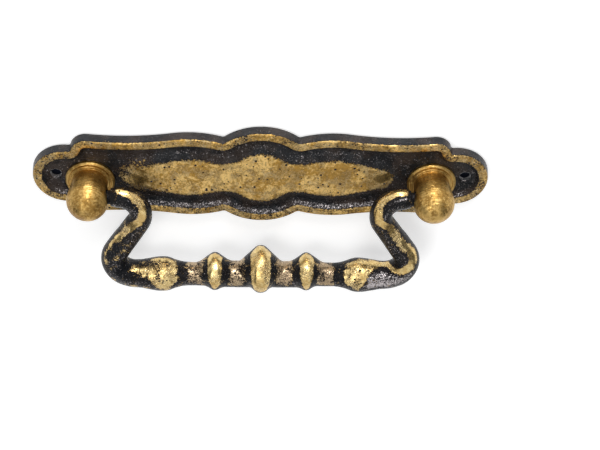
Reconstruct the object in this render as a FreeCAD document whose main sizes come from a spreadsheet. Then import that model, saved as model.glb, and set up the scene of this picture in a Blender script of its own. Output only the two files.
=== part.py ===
import FreeCAD, Part
import math
import os
from types import SimpleNamespace

import Sketcher

# A cast brass bail pull: a serpentine backplate, two turned posts and a swinging bail.
# Millimetres. The back of the plate lies in the XZ plane, +Z is up and the front faces -Y.

V = FreeCAD.Vector
TOUCH = 1e-6
doc = FreeCAD.newDocument("bail_pull")

# Driving sizes

SIZES = [
    ("post_spacing", 96.0, "between the two posts"),
    ("end_reach", 16.0, "post to the tip of the plate"),
    ("plate_height", 33.0, "backplate across the middle lobe"),
    ("hump_x", 20.0, "crest of the wing"),
    ("hump_top", 14.3, "height of the wing above the middle line"),
    ("hump_radius", 30.0, "convex edge of the wing"),
    ("shoulder_shift", 0.3, "crest of the shoulder beyond the post"),
    ("shoulder_top", 13.4, "height of the shoulder"),
    ("shoulder_radius", 4.5, "convex edge of the shoulder"),
    ("end_radius", 9.5, "rounded end of the plate"),
    ("notch_radius", 1.0, "hollow between lobe and wing"),
    ("dip_radius", 85.0, "hollow between wing and shoulder"),
    ("corner_radius", 0.8, "hollow between shoulder and end"),
    ("rim_height", 3.0, "back face to rim"),
    ("rim_width", 2.4, "flat of the rim with its rounded edges"),
    ("rim_draft", 0.3, "lean of the outer wall"),
    ("rim_round", 0.5, "rounded edges of the rim"),
    ("wall_run", 1.0, "lean of the wall inside the rim"),
    ("floor_thickness", 1.6, "metal left under the moat"),
    ("field_inset", 6.5, "plate edge to the edge of the field"),
    ("field_slope", 2.0, "run of the slope from moat to field"),
    ("field_rise", 0.9, "moat to the edge of the field"),
    ("field_crown", 0.3, "edge of the field to its crown"),
    ("crown_run", 2.0, "run of the soft edge of the field"),
    ("field_reach", 9.8, "post to the end of the field"),
    ("field_end_radius", 4.8, "rounded end of the field"),
    ("field_round", 1.5, "soft edge of the field"),
    ("fixing_reach", 9.5, "post to the fixing hole"),
    ("fixing_diameter", 3.2, "fixing hole"),
    ("post_drop", 1.7, "posts below the middle line"),
    ("seat_clearance", 0.3, "round the foot of a post, on the radius"),
    ("flange_diameter", 13.8, "foot of the post"),
    ("flange_height", 1.4, "foot of the post"),
    ("flange_chamfer", 0.4, "edge of the foot"),
    ("neck_diameter", 9.8, "barrel above the foot"),
    ("barrel_diameter", 11.6, "barrel under the nose"),
    ("pivot_height", 9.2, "back face to the axis of the bail"),
    ("nose_start", 10.6, "back face to the start of the nose"),
    ("nose_flat", 2.2, "flat disc on the tip of the nose"),
    ("bail_drop", 30.1, "axis of the bail to the middle of the grip"),
    ("pin_diameter", 4.0, "pin of the bail"),
    ("pin_length", 4.4, "pin of the bail"),
    ("pin_clearance", 0.3, "round the pin, on the radius"),
    ("pin_end_clearance", 0.8, "pin to the bottom of its hole"),
    ("side_clearance", 0.5, "arm to post"),
    ("arm_end_diameter", 5.4, "arm at the post"),
    ("arm_diameter", 6.2, "arm at the upper bend"),
    ("upper_bend_inset", 14.3, "post to the innermost point of the upper bend, on its middle line"),
    ("upper_bend_radius", 6.0, "upper bend, on its middle line"),
    ("lower_bend_inset", 5.7, "post to the outermost point of the lower bend, on its middle line"),
    ("lower_bend_radius", 6.3, "lower bend, on its middle line"),
    ("lower_bend_diameter", 8.6, "arm where the lower bend meets the grip"),
    ("arm_foot_diameter", 7.4, "arm where the lower bend ends"),
    ("bulb_x", 28.4, "widest point of the bulb"),
    ("bulb_diameter", 10.3, "bulb"),
    ("bulb_radius", 6.5, "shoulder of the bulb, along the grip"),
    ("outer_cove_x", 20.6, "hollow between bulb and small bead"),
    ("outer_cove_diameter", 7.1, "hollow between bulb and small bead"),
    ("inner_cove_x", 7.2, "hollow between small and large bead"),
    ("inner_cove_diameter", 7.9, "hollow between small and large bead"),
    ("small_bead_x", 13.3, "small bead"),
    ("small_bead_diameter", 11.3, "small bead"),
    ("small_bead_lift", 1.2, "small bead above the middle of the grip"),
    ("small_bead_crest", 2.0, "crest of the small bead, along the grip"),
    ("large_bead_diameter", 14.2, "large bead"),
    ("large_bead_lift", 2.1, "large bead above the middle of the grip"),
    ("large_bead_crest", 2.6, "crest of the large bead, along the grip"),
    ("flank_sink", 0.5, "foot of a bead's flank below the hollow"),
    ("screw_diameter", 3.0, "post screw"),
    ("screw_length", 5.5, "post screw with its head"),
    ("screw_chamfer", 0.3, "end of the screw"),
    ("head_diameter", 5.6, "countersunk head, a right-angled cone"),
    ("slot_width", 0.8, "screwdriver slot"),
    ("slot_depth", 0.6, "screwdriver slot"),
    ("screw_clearance", 0.05, "round the screw, on the radius"),
    ("bore_end_clearance", 0.5, "screw to the end of its bore"),
]

sheet = doc.addObject("Spreadsheet::Sheet", "sizes")
for row, (alias, value, note) in enumerate(SIZES, 1):
    sheet.set(f"A{row}", alias)
    sheet.set(f"B{row}", str(value))
    sheet.set(f"C{row}", note)
    sheet.setAlias(f"B{row}", alias)
doc.recompute()


class Size:
    """A length with its number, for first positions, and its rule in the names of the sheet."""

    def __init__(self, number, rule):
        self.number = number
        self.rule = rule

    def __add__(self, other):
        return Size(self.number + other.number, f"({self.rule} + {other.rule})")

    def __sub__(self, other):
        return Size(self.number - other.number, f"({self.rule} - {other.rule})")

    def __mul__(self, factor):
        return Size(self.number * factor, f"({self.rule} * {factor})")

    def __neg__(self):
        return self * -1

    def half(self):
        return self * 0.5


ZERO = Size(0, "0")
names = [alias for alias, value, note in SIZES]
S = SimpleNamespace(**{name: Size(float(sheet.get(name)), f"sizes.{name}") for name in names})

# Sizes that follow from the driving ones, each shared by the pieces that meet there

post_x = S.post_spacing.half()
rim_inner = S.rim_draft + S.rim_width
moat_edge = rim_inner + S.wall_run
field_foot = S.field_inset - S.field_slope
crown_edge = S.field_inset + S.crown_run
field_height = S.floor_thickness + S.field_rise
crown_height = field_height + S.field_crown
arm_end_x = post_x - S.barrel_diameter.half() - S.side_clearance
hole_diameter = S.pin_diameter + S.pin_clearance * 2
hole_bottom = post_x - arm_end_x - S.pin_length - S.pin_end_clearance
bore_radius = S.screw_diameter.half() + S.screw_clearance
bore_depth = S.screw_length - S.floor_thickness + S.bore_end_clearance

# Sketch helpers

START, END, CENTRE = range(1, 4)
X_AXIS, Y_AXIS = range(-1, -3, -1)
ORIGIN = (X_AXIS, START)
NORMAL = V(0, 0, 1)


def new_body(label, across=ZERO, forward=ZERO, up=ZERO):
    """A sub-part with its own label and place."""
    body = doc.addObject("PartDesign::Body", label)
    body.Label = label
    for axis, length in (("x", across), ("y", forward), ("z", up)):
        body.setExpression(f"Placement.Base.{axis}", length.rule)
    return body


def base_plane(body, role):
    return next(item for item in body.Origin.OriginFeatures if item.Role == role)


def new_sketch(body, name, plane, across=ZERO, up=ZERO, out=ZERO):
    """A sketch on a base plane of its body, moved within and out of that plane."""
    sketch = body.newObject("Sketcher::SketchObject", name)
    sketch.AttachmentSupport = [(base_plane(body, plane), "")]
    sketch.MapMode = "FlatFace"
    for axis, length in (("x", across), ("y", up), ("z", out)):
        sketch.setExpression(f"AttachmentOffset.Base.{axis}", length.rule)
    return sketch


def fix(sketch, *relation):
    sketch.addConstraint(Sketcher.Constraint(*relation))


def bind(sketch, length, *dimension):
    """A dimension that follows the sheet."""
    index = sketch.addConstraint(Sketcher.Constraint(*dimension, length.number))
    sketch.setExpression(f"Constraints[{index}]", length.rule)


def place(sketch, shape, point, across, up):
    """Ties a point of a line or arc to the sketch's origin; None leaves that direction free."""
    for kind, length, axis in (("DistanceX", across, Y_AXIS), ("DistanceY", up, X_AXIS)):
        if length is None:
            continue
        if length is ZERO:
            fix(sketch, "PointOnObject", shape, point, axis)
        elif length.number > 0:
            bind(sketch, length, kind, *ORIGIN, shape, point)
        else:
            bind(sketch, -length, kind, shape, point, *ORIGIN)


def add_arc(sketch, centre, radius, first, last):
    """An arc drawn counter-clockwise from the direction of one point to that of another."""
    angles = [math.atan2(point.y - centre.y, point.x - centre.x) for point in (first, last)]
    return sketch.addGeometry(Part.ArcOfCircle(Part.Circle(centre, NORMAL, radius), *angles), False)


def add_line(sketch, first, last):
    return sketch.addGeometry(Part.LineSegment(first, last), False)


def add_circle(sketch, diameter):
    """A circle about the sketch's own origin."""
    ring = sketch.addGeometry(Part.Circle(V(0, 0, 0), NORMAL, diameter.half().number), False)
    fix(sketch, "Coincident", ring, CENTRE, *ORIGIN)
    bind(sketch, diameter, "Diameter", ring)


def add_chain(sketch, corners):
    """Straight lines from corner to corner; each corner is an (across, up) pair of sizes."""
    points = [V(across.number, up.number, 0) for across, up in corners]
    lines = [add_line(sketch, first, last) for first, last in zip(points, points[1:])]
    for first, last in zip(lines, lines[1:]):
        fix(sketch, "Coincident", first, END, last, START)
    for shape, corner in zip(lines, corners):
        place(sketch, shape, START, *corner)
    place(sketch, lines[-1], END, *corners[-1])
    return lines


def add_loop(sketch, corners):
    """A closed outline of straight lines."""
    lines = add_chain(sketch, corners)
    closing = add_line(sketch, V(corners[-1][0].number, corners[-1][1].number, 0),
                       V(corners[0][0].number, corners[0][1].number, 0))
    fix(sketch, "Coincident", lines[-1], END, closing, START)
    fix(sketch, "Coincident", closing, END, lines[0], START)


def revolve(body, kind, sketch, axis):
    feature = body.newObject(f"PartDesign::{kind}", f"{sketch.Name}_turned")
    feature.Profile = sketch
    feature.ReferenceAxis = (sketch, [axis])
    return feature


def loft(body, kind, name, sketches):
    feature = body.newObject(f"PartDesign::{kind}", name)
    feature.Profile = sketches[0]
    feature.Sections = sketches[1:]
    feature.Ruled = True
    return feature


def pocket_through(body, sketch):
    """A cut along the sketch's normal, away from the sketch."""
    feature = body.newObject("PartDesign::Pocket", f"{sketch.Name}_cut")
    feature.Profile = sketch
    feature.Type = "ThroughAll"
    feature.Reversed = True
    return feature


def mirror(body, name, plane, features=()):
    """A mirror image of some features, or of the whole body so far."""
    feature = body.newObject("PartDesign::Mirrored", name)
    feature.MirrorPlane = (base_plane(body, plane), [""])
    if features:
        feature.Originals = list(features)
    else:
        feature.TransformMode = "Whole shape"
    doc.recompute()
    body.Tip = feature
    return feature


# Backplate: a quarter drawn as a chain of humps and hollows, then mirrored twice

WAVES = [
    (ZERO, ZERO, S.plate_height.half(), S.notch_radius),
    (S.hump_x, S.hump_top - S.hump_radius, S.hump_radius, S.dip_radius),
    (post_x + S.shoulder_shift, S.shoulder_top - S.shoulder_radius, S.shoulder_radius, S.corner_radius),
    (post_x + S.end_reach - S.end_radius, ZERO, S.end_radius, None),
]
FIELD_WAVES = WAVES[:2] + [
    (post_x - S.field_reach - S.field_end_radius, ZERO, S.field_end_radius + S.field_inset, None),
]


def hollow_centre(first, first_reach, second, second_reach):
    """The outer one of the two points at given distances from the centres of two humps."""
    step = second - first
    span = step.Length
    along = (first_reach ** 2 - second_reach ** 2 + span ** 2) / (2 * span)
    rise = math.sqrt(first_reach ** 2 - along ** 2)
    step.normalize()
    return first + step * along + V(-step.y, step.x, 0) * rise


def add_waves(sketch, waves, inset):
    """A quarter outline of humps and hollows, moved inwards."""
    middle = V(0, 0, 0)
    centres = [V(across.number, up.number, 0) for across, up, radius, hollow in waves]
    radii = [radius - inset for across, up, radius, hollow in waves]
    hollows = [hollow + inset for across, up, radius, hollow in waves[:-1]]
    joints = []
    for i, hollow in enumerate(hollows):
        reaches = [radii[i].number + hollow.number, radii[i + 1].number + hollow.number]
        joints.append(hollow_centre(centres[i], reaches[0], centres[i + 1], reaches[1]))
    tip = centres[-1] + V(radii[-1].number, 0, 0)
    lefts = [V(0, radii[0].number, 0)] + joints
    rights = joints + [tip]
    humps = [add_arc(sketch, c, r.number, b, a) for c, r, a, b in zip(centres, radii, lefts, rights)]
    dips = [add_arc(sketch, c, h.number, centres[i], centres[i + 1])
            for i, (c, h) in enumerate(zip(joints, hollows))]
    for hump, radius, (across, up, full, hollow) in zip(humps, radii, waves):
        place(sketch, hump, CENTRE, across, up)
        bind(sketch, radius, "Radius", hump)
    for i, (dip, hollow) in enumerate(zip(dips, hollows)):
        bind(sketch, hollow, "Radius", dip)
        fix(sketch, "Tangent", humps[i], START, dip, START)
        fix(sketch, "Tangent", dip, END, humps[i + 1], END)
    base = add_line(sketch, tip, middle)
    side = add_line(sketch, middle, lefts[0])
    fix(sketch, "Coincident", humps[-1], START, base, START)
    fix(sketch, "Coincident", base, END, side, START)
    fix(sketch, "Coincident", side, END, humps[0], END)
    fix(sketch, "Coincident", base, END, *ORIGIN)
    fix(sketch, "Horizontal", base)
    fix(sketch, "Vertical", side)


def plate_loop(name, inset, height):
    sketch = new_sketch(plate, name, "XZ_Plane", out=height)
    add_waves(sketch, WAVES, inset)
    return sketch


def field_loop(name, inset, height):
    sketch = new_sketch(plate, name, "XZ_Plane", out=height)
    add_waves(sketch, FIELD_WAVES, inset)
    return sketch


plate = new_body("backplate")
loft(plate, "AdditiveLoft", "slab", [
    plate_loop("back_edge", ZERO, ZERO),
    plate_loop("front_edge", S.rim_draft, S.rim_height),
])
loft(plate, "SubtractiveLoft", "dish", [
    plate_loop("dish_mouth", rim_inner, S.rim_height),
    plate_loop("dish_floor", moat_edge, S.floor_thickness),
])
loft(plate, "AdditiveLoft", "field", [
    field_loop("field_base", field_foot, S.floor_thickness),
    field_loop("field_edge", S.field_inset, field_height),
    field_loop("field_top", crown_edge, crown_height),
])
mirror(plate, "right_half", "XY_Plane")
whole_plate = mirror(plate, "both_halves", "YZ_Plane")


def edges_at(feature, height):
    """The names of the edges that lie at one height above the back face."""
    names = []
    for number, edge in enumerate(feature.Shape.Edges, 1):
        box = edge.BoundBox
        if max(abs(box.YMin + height.number), abs(box.YMax + height.number)) < TOUCH:
            names.append(f"Edge{number}")
    return names


def soften(body, name, feature, height, radius):
    """Rounded edges along one height of the plate."""
    rounded = body.newObject("PartDesign::Fillet", name)
    rounded.Base = (feature, edges_at(feature, height))
    rounded.setExpression("Radius", radius.rule)
    doc.recompute()
    return rounded


softened = soften(plate, "rim_edges", whole_plate, S.rim_height, S.rim_round)
softened = soften(plate, "field_edges", softened, field_height, S.field_round)

seat = new_sketch(plate, "post_seat", "XZ_Plane", across=post_x, up=-S.post_drop, out=S.floor_thickness)
add_circle(seat, S.flange_diameter + S.seat_clearance * 2)
fixing = new_sketch(plate, "fixing_hole", "XZ_Plane", across=post_x + S.fixing_reach)
add_circle(fixing, S.fixing_diameter)
screw_hole = new_sketch(plate, "screw_hole", "XY_Plane", across=post_x, out=-S.post_drop)
sink = S.head_diameter.half() - bore_radius
add_loop(screw_hole, [
    (ZERO, ZERO),
    (S.head_diameter.half(), ZERO),
    (bore_radius, -sink),
    (bore_radius, -S.floor_thickness),
    (ZERO, -S.floor_thickness),
])
cuts = [
    pocket_through(plate, seat),
    pocket_through(plate, fixing),
    revolve(plate, "Groove", screw_hole, "V_Axis"),
]
doc.recompute()
mirror(plate, "left_cuts", "YZ_Plane", cuts)


# Posts: turned, with a screw bore in the foot and a cross hole for the pin of the bail


def make_post(label, across, turn):
    post = new_body(label, across, -S.floor_thickness, -S.post_drop)
    post.Placement.Rotation = FreeCAD.Rotation(V(0, 1, 0), turn)
    foot_edge = S.flange_height - S.flange_chamfer
    nose = S.nose_start - S.floor_thickness
    barrel_radius = S.barrel_diameter.half()
    flat_radius = S.nose_flat.half()
    tip_rise = math.sqrt(barrel_radius.number ** 2 - flat_radius.number ** 2)
    tip = V(0, -nose.number - tip_rise, 0)
    flat_edge = tip + V(flat_radius.number, 0, 0)
    profile = new_sketch(post, f"{label}_profile", "XY_Plane")
    outline = add_chain(profile, [
        (ZERO, -bore_depth),
        (bore_radius, -bore_depth),
        (bore_radius, ZERO),
        (S.flange_diameter.half(), ZERO),
        (S.flange_diameter.half(), -foot_edge),
        (S.flange_diameter.half() - S.flange_chamfer, -S.flange_height),
        (S.neck_diameter.half(), -S.flange_height),
        (barrel_radius, -nose),
    ])
    centre = V(0, -nose.number, 0)
    barrel_edge = centre + V(barrel_radius.number, 0, 0)
    dome = add_arc(profile, centre, barrel_radius.number, flat_edge, barrel_edge)
    disc = add_line(profile, flat_edge, tip)
    axis = add_line(profile, tip, V(0, -bore_depth.number, 0))
    place(profile, dome, CENTRE, ZERO, -nose)
    fix(profile, "Coincident", outline[-1], END, dome, END)
    fix(profile, "Coincident", dome, START, disc, START)
    place(profile, dome, START, flat_radius, None)
    fix(profile, "Horizontal", disc)
    fix(profile, "Coincident", disc, END, axis, START)
    fix(profile, "Coincident", axis, END, outline[0], START)
    fix(profile, "Vertical", axis)
    revolve(post, "Revolution", profile, "V_Axis")
    doc.recompute()
    hole = new_sketch(post, f"{label}_hole", "YZ_Plane",
                      across=S.floor_thickness - S.pivot_height, out=hole_bottom)
    add_circle(hole, hole_diameter)
    pocket_through(post, hole)
    doc.recompute()
    return post


left_post = make_post("left_post", -post_x, 0)
right_post = make_post("right_post", post_x, 180)

# Post screws: countersunk, flush with the back, one group of two

screws = new_body("post_screws", up=-S.post_drop)
screws.AllowCompound = True
shank = S.screw_diameter.half()
screw_profile = new_sketch(screws, "screw_profile", "XY_Plane", across=post_x)
add_loop(screw_profile, [
    (ZERO, ZERO),
    (S.head_diameter.half(), ZERO),
    (shank, shank - S.head_diameter.half()),
    (shank, S.screw_chamfer - S.screw_length),
    (shank - S.screw_chamfer, -S.screw_length),
    (ZERO, -S.screw_length),
])
revolve(screws, "Revolution", screw_profile, "V_Axis")
doc.recompute()
slot = new_sketch(screws, "slot", "XZ_Plane", across=post_x)
slot_half, head_half = S.slot_width.half(), S.head_diameter.half()
add_loop(slot, [
    (-slot_half, -head_half),
    (slot_half, -head_half),
    (slot_half, head_half),
    (-slot_half, head_half),
])
slot_cut = screws.newObject("PartDesign::Pocket", "slot_cut")
slot_cut.Profile = slot
slot_cut.Reversed = True
slot_cut.setExpression("Length", S.slot_depth.rule)
doc.recompute()
mirror(screws, "screw_pair", "YZ_Plane")

# Bail: half a grip, one arm and one pin, mirrored, with the large bead in the middle

bail = new_body("bail", forward=-S.pivot_height, up=-S.post_drop)
cove_radius = S.inner_cove_diameter.half()
outer_cove_radius = S.outer_cove_diameter.half()
bulb_half = S.bulb_diameter.half()

core = new_sketch(bail, "grip_core", "XZ_Plane", up=-S.bail_drop)
core_lines = add_chain(core, [
    (S.bulb_x, ZERO),
    (ZERO, ZERO),
    (ZERO, cove_radius),
    (S.small_bead_x, cove_radius),
    (S.small_bead_x, outer_cove_radius),
    (S.outer_cove_x, outer_cove_radius),
])
reach = S.bulb_x.number - S.outer_cove_x.number
rise = bulb_half.number - outer_cove_radius.number
hollow = (reach ** 2 + rise ** 2) / (2 * rise) - S.bulb_radius.number
hollow_middle = V(S.outer_cove_x.number, outer_cove_radius.number + hollow, 0)
bulb_middle = V(S.bulb_x.number, bulb_half.number - S.bulb_radius.number, 0)
cove_end = V(S.outer_cove_x.number, outer_cove_radius.number, 0)
bulb_top = V(S.bulb_x.number, bulb_half.number, 0)
cove_arc = add_arc(core, hollow_middle, hollow, cove_end, bulb_middle)
bulb_arc = add_arc(core, bulb_middle, S.bulb_radius.number, bulb_top, hollow_middle)
bulb_end = add_line(core, bulb_top, V(S.bulb_x.number, 0, 0))
fix(core, "Tangent", core_lines[-1], END, cove_arc, START)
fix(core, "Tangent", cove_arc, END, bulb_arc, END)
place(core, bulb_arc, CENTRE, S.bulb_x, None)
place(core, bulb_arc, START, S.bulb_x, bulb_half)
bind(core, S.bulb_radius, "Radius", bulb_arc)
fix(core, "Coincident", bulb_arc, START, bulb_end, START)
fix(core, "Coincident", bulb_end, END, core_lines[0], START)
revolve(bail, "Revolution", core, "H_Axis")
doc.recompute()


def add_bead(name, across, lift, diameter, crest, reach, foot):
    """A bead with sloping flanks, turned about an axis a little above the middle of the grip."""
    sketch = new_sketch(bail, name, "XZ_Plane", across=across, up=lift - S.bail_drop)
    top = diameter.half()
    middle = V(0, top.number - crest.number, 0)
    right_foot = V(reach.number, foot.number, 0)
    left_foot = V(-reach.number, foot.number, 0)
    fall = right_foot - middle
    bearing = math.atan2(fall.y, fall.x) + math.acos(crest.number / fall.Length)
    right_touch = middle + V(math.cos(bearing), math.sin(bearing), 0) * crest.number
    left_touch = V(-right_touch.x, right_touch.y, 0)
    crown = add_arc(sketch, middle, crest.number, right_touch, left_touch)
    right = add_line(sketch, right_touch, right_foot)
    left = add_line(sketch, left_touch, left_foot)
    base = add_chain(sketch, [(-reach, foot), (-reach, ZERO), (reach, ZERO), (reach, foot)])
    place(sketch, crown, CENTRE, ZERO, top - crest)
    bind(sketch, crest, "Radius", crown)
    fix(sketch, "Tangent", crown, START, right, START)
    fix(sketch, "Tangent", crown, END, left, START)
    fix(sketch, "Coincident", right, END, base[-1], END)
    fix(sketch, "Coincident", left, END, base[0], START)
    feature = revolve(bail, "Revolution", sketch, "H_Axis")
    doc.recompute()
    return feature


add_bead("small_bead", S.small_bead_x, S.small_bead_lift, S.small_bead_diameter, S.small_bead_crest,
         S.small_bead_x - S.inner_cove_x, outer_cove_radius - S.small_bead_lift - S.flank_sink)

lower_x = post_x - S.lower_bend_inset - S.lower_bend_radius
upper_x = post_x - S.upper_bend_inset + S.upper_bend_radius
path = new_sketch(bail, "arm_path", "XZ_Plane")
lower_middle = V(lower_x.number, S.lower_bend_radius.number - S.bail_drop.number, 0)
upper_middle = V(upper_x.number, -S.upper_bend_radius.number, 0)
climb = upper_middle - lower_middle
lean = math.acos((S.lower_bend_radius.number + S.upper_bend_radius.number) / climb.Length)
climb.normalize()
outward = climb * math.cos(lean) + V(climb.y, -climb.x, 0) * math.sin(lean)
lower_touch = lower_middle + outward * S.lower_bend_radius.number
upper_touch = upper_middle - outward * S.upper_bend_radius.number
bulb_point = V(S.bulb_x.number, -S.bail_drop.number, 0)
lower_start = V(lower_x.number, -S.bail_drop.number, 0)
upper_end = V(upper_x.number, 0, 0)
grip_line = add_line(path, bulb_point, lower_start)
lower_bend = add_arc(path, lower_middle, S.lower_bend_radius.number, lower_start, lower_touch)
arm_line = add_line(path, lower_touch, upper_touch)
upper_bend = add_arc(path, upper_middle, S.upper_bend_radius.number, upper_end, upper_touch)
end_line = add_line(path, upper_end, V(arm_end_x.number, 0, 0))
place(path, grip_line, START, S.bulb_x, -S.bail_drop)
fix(path, "Horizontal", grip_line)
fix(path, "Tangent", grip_line, END, lower_bend, START)
fix(path, "Tangent", lower_bend, END, arm_line, START)
fix(path, "Tangent", arm_line, END, upper_bend, END)
fix(path, "Tangent", upper_bend, START, end_line, START)
fix(path, "Horizontal", end_line)
place(path, end_line, END, arm_end_x, ZERO)
place(path, lower_bend, CENTRE, lower_x, None)
place(path, upper_bend, CENTRE, upper_x, None)
bind(path, S.lower_bend_radius, "Radius", lower_bend)
bind(path, S.upper_bend_radius, "Radius", upper_bend)

bulb_ring = new_sketch(bail, "bulb_ring", "YZ_Plane", up=-S.bail_drop, out=S.bulb_x)
add_circle(bulb_ring, S.bulb_diameter)
bend_ring = new_sketch(bail, "bend_ring", "YZ_Plane", up=-S.bail_drop, out=lower_x)
add_circle(bend_ring, S.lower_bend_diameter)
foot_ring = bail.newObject("Sketcher::SketchObject", "foot_ring")
doc.recompute()
foot_ring.AttachmentSupport = [(path, "Edge3")]
foot_ring.MapMode = "NormalToEdge"
foot_ring.MapPathParameter = 0
add_circle(foot_ring, S.arm_foot_diameter)
upper_ring = new_sketch(bail, "upper_ring", "YZ_Plane", out=upper_x)
add_circle(upper_ring, S.arm_diameter)
end_ring = new_sketch(bail, "end_ring", "YZ_Plane", out=arm_end_x)
add_circle(end_ring, S.arm_end_diameter)
arm = bail.newObject("PartDesign::AdditivePipe", "arm")
arm.Profile = bulb_ring
arm.Sections = [bend_ring, foot_ring, upper_ring, end_ring]
arm.Spine = (path, ["Edge1", "Edge2", "Edge3", "Edge4", "Edge5"])
arm.Transformation = "Multisection"
doc.recompute()

pin_ring = new_sketch(bail, "pin_ring", "YZ_Plane", out=arm_end_x)
add_circle(pin_ring, S.pin_diameter)
pin = bail.newObject("PartDesign::Pad", "pin")
pin.Profile = pin_ring
pin.setExpression("Length", S.pin_length.rule)
doc.recompute()
mirror(bail, "whole_bail", "YZ_Plane")
add_bead("large_bead", ZERO, S.large_bead_lift, S.large_bead_diameter, S.large_bead_crest,
         S.inner_cove_x, cove_radius - S.large_bead_lift - S.flank_sink)

# Checks and files

for item in doc.Objects:
    if "Invalid" in item.State or "Error" in item.State:
        raise RuntimeError(f"{item.Label} did not build")
os.makedirs("parts", exist_ok=True)
for body in (plate, left_post, right_post, screws, bail):
    if body.Shape.isNull() or not body.Shape.isValid():
        raise RuntimeError(f"{body.Label} is not a sound solid")
    body.Shape.exportStep(f"parts/{body.Label}.step")
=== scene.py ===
# %% [markdown]
# # A beaded bail pull in antiqued brass
# A bail pull opens a drawer. A cast plate lies on the drawer front, two turned posts stand on it,
# and a swinging handle, the bail, hangs between them. The casting was blackened all over and then
# rubbed, so brass shows on everything that stands proud and the hollows stay dark.
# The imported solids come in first. They fix every size and place, and the box round them is kept,
# so that the finished pieces can be measured against it.

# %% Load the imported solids
import math

import bmesh
import bpy
import numpy as np
from mathutils import Matrix, Vector, noise


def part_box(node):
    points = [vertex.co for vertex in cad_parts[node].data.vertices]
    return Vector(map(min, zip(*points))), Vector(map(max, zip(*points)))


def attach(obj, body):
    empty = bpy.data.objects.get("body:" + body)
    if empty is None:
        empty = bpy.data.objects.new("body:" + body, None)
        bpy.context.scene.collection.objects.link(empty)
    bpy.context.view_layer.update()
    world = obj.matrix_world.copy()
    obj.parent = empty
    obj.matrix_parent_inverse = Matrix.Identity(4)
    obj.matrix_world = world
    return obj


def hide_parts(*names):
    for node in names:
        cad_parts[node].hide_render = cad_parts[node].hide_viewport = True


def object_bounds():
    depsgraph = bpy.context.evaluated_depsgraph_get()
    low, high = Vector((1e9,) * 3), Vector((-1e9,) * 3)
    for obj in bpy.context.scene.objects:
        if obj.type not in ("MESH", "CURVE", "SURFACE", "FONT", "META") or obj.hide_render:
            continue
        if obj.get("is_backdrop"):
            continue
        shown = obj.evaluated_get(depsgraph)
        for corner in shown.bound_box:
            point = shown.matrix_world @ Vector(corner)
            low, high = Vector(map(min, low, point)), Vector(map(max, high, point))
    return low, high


MM = 0.001

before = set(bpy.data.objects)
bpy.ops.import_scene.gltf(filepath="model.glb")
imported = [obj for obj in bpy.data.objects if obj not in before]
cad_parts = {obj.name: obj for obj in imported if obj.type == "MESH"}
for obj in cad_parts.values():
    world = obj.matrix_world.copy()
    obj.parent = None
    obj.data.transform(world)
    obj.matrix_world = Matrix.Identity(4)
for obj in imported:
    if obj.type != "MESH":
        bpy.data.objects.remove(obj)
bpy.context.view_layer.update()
print("solids:", sorted(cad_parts))

# %% [markdown]
# ## Camera
# The pull was seen from in front and well above, through a long lens, so its ends hardly shrink
# with distance. Blender could frame it with the lens shift, but a shift follows the camera into
# every other view. Turning the camera to a point a little right of the pull and below it puts the
# pull in the same place, with no shift.

# %% Camera
IMAGE_WIDTH = 600.0
SENSOR_WIDTH = 36.0
FOCAL_PIXELS = 1382.0
VIEW_HEIGHT = math.radians(41.5)
VIEW_ROLL = math.radians(0.4)
VIEW_DISTANCE = 390.0 * MM
AIM_RIGHT = 10.9 * MM
AIM_DOWN = 15.0 * MM

toward_camera = Vector((0.0, -math.cos(VIEW_HEIGHT), math.sin(VIEW_HEIGHT)))
level_right = Vector((1.0, 0.0, 0.0))
level_up = toward_camera.cross(level_right)
picture_right = level_right * math.cos(VIEW_ROLL) + level_up * math.sin(VIEW_ROLL)
picture_up = toward_camera.cross(picture_right)
eye = toward_camera * VIEW_DISTANCE
target = picture_right * AIM_RIGHT - picture_up * AIM_DOWN

axis_z = (eye - target).normalized()
axis_x = (picture_right - axis_z * picture_right.dot(axis_z)).normalized()
axis_y = axis_z.cross(axis_x)
camera = bpy.data.objects.new("camera", bpy.data.cameras.new("camera"))
camera.data.sensor_width = SENSOR_WIDTH
camera.data.lens = FOCAL_PIXELS / IMAGE_WIDTH * SENSOR_WIDTH
camera.data.clip_start = 10.0 * MM
camera.matrix_world = Matrix.Translation(eye) @ Matrix((axis_x, axis_y, axis_z)).transposed().to_4x4()
bpy.context.scene.collection.objects.link(camera)
bpy.context.scene.camera = camera
print("lens in mm:", round(camera.data.lens, 1))

# %% [markdown]
# ## Node helpers
# Every finish below is a tree of shader nodes. Written out one node at a time, a tree hides its
# idea under wiring, so a few small functions make the usual nodes and join them up. Each one takes
# either another node's output or a plain number.

# %% Node helpers


def join(tree, source, socket):
    """Feeds a socket from an output, or sets it to a plain value."""
    if isinstance(source, bpy.types.NodeSocket):
        tree.links.new(source, socket)
    else:
        socket.default_value = source


def maths(tree, operation, first, second=0.0):
    node = tree.nodes.new("ShaderNodeMath")
    node.operation = operation
    join(tree, first, node.inputs[0])
    join(tree, second, node.inputs[1])
    return node.outputs[0]


def plus(tree, first, second):
    return maths(tree, "ADD", first, second)


def minus(tree, first, second):
    return maths(tree, "SUBTRACT", first, second)


def times(tree, first, second):
    return maths(tree, "MULTIPLY", first, second)


def ease(tree, value, low, high, start=0.0, end=1.0):
    """A soft step from start to end while the value goes from low to high."""
    node = tree.nodes.new("ShaderNodeMapRange")
    node.interpolation_type = "SMOOTHSTEP"
    for label, source in (("Value", value), ("From Min", low), ("From Max", high),
                          ("To Min", start), ("To Max", end)):
        join(tree, source, node.inputs[label])
    return node.outputs["Result"]


def stretch(tree, place, scale):
    node = tree.nodes.new("ShaderNodeVectorMath")
    node.operation = "MULTIPLY"
    join(tree, place, node.inputs[0])
    join(tree, scale, node.inputs[1])
    return node.outputs[0]


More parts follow.
